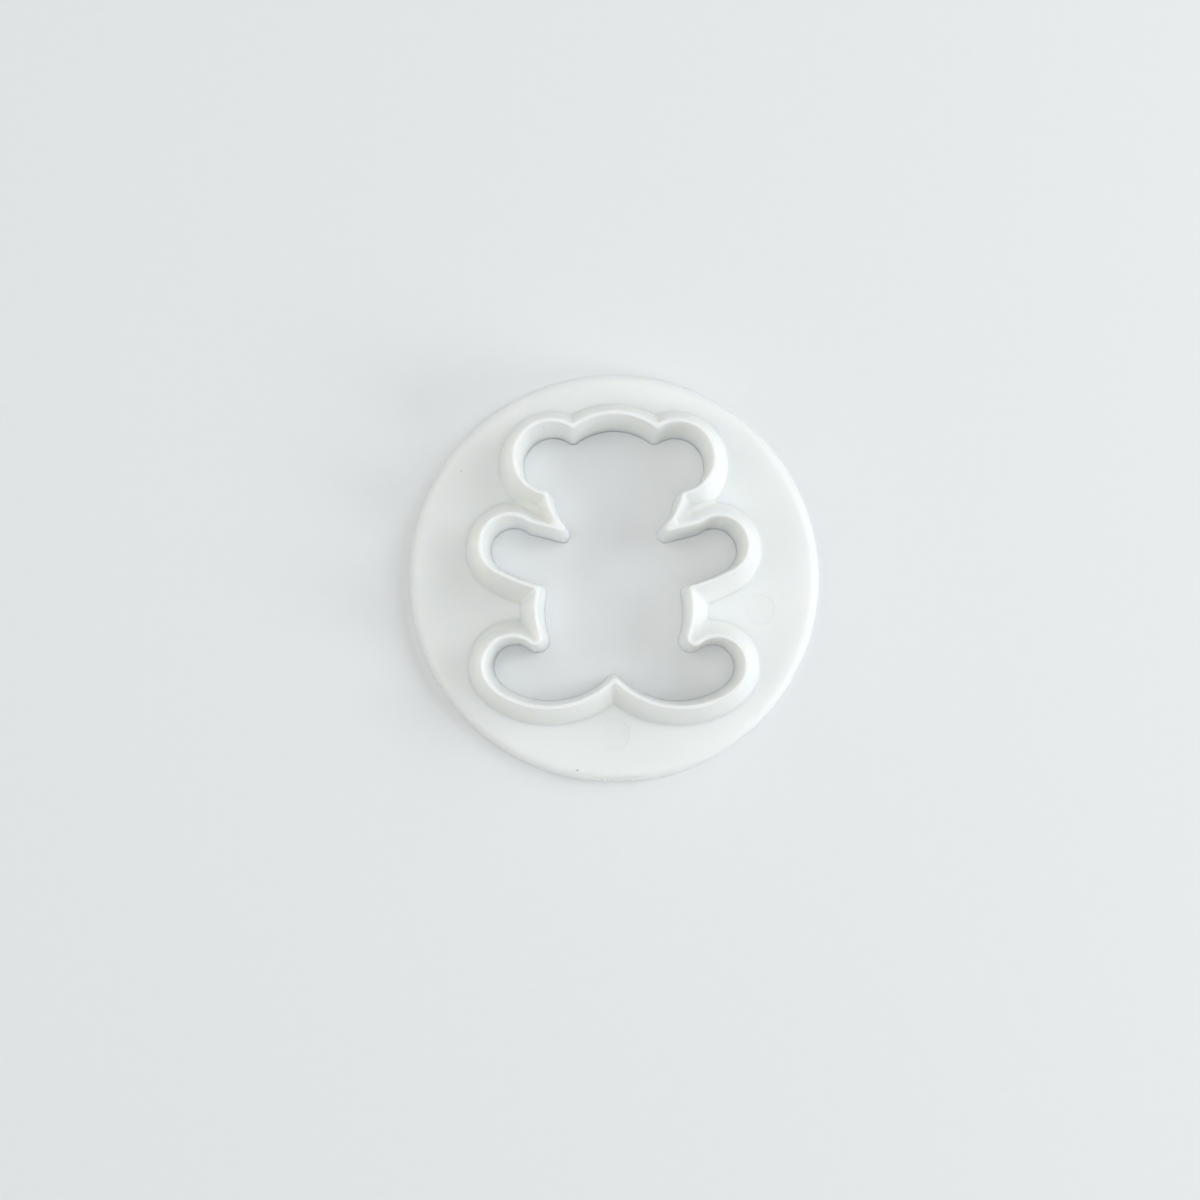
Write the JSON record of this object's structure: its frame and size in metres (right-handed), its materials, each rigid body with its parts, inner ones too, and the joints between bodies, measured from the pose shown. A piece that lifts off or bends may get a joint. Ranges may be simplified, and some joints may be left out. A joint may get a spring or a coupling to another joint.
{
  "type": "pastry cutter",
  "caption": "Round flanged push cutter of one plastic moulding, with a raised, drafted cutting wall round a teddy bear outline that is open from rim to underside.",
  "frame": {"origin": "centre of the round flange's flat underside", "axes": "+Z towards the cutting rim, +Y towards the top of the bear's head, +X to the right as seen from above"},
  "size_m": [0.0606, 0.0605, 0.0095],
  "materials": {
    "moulded_plastic": "satin white moulded plastic, slightly translucent at the thin wall"
  },
  "bodies": {
    "root": {"cutter": "moulded_plastic"}
  },
  "joints": []
}
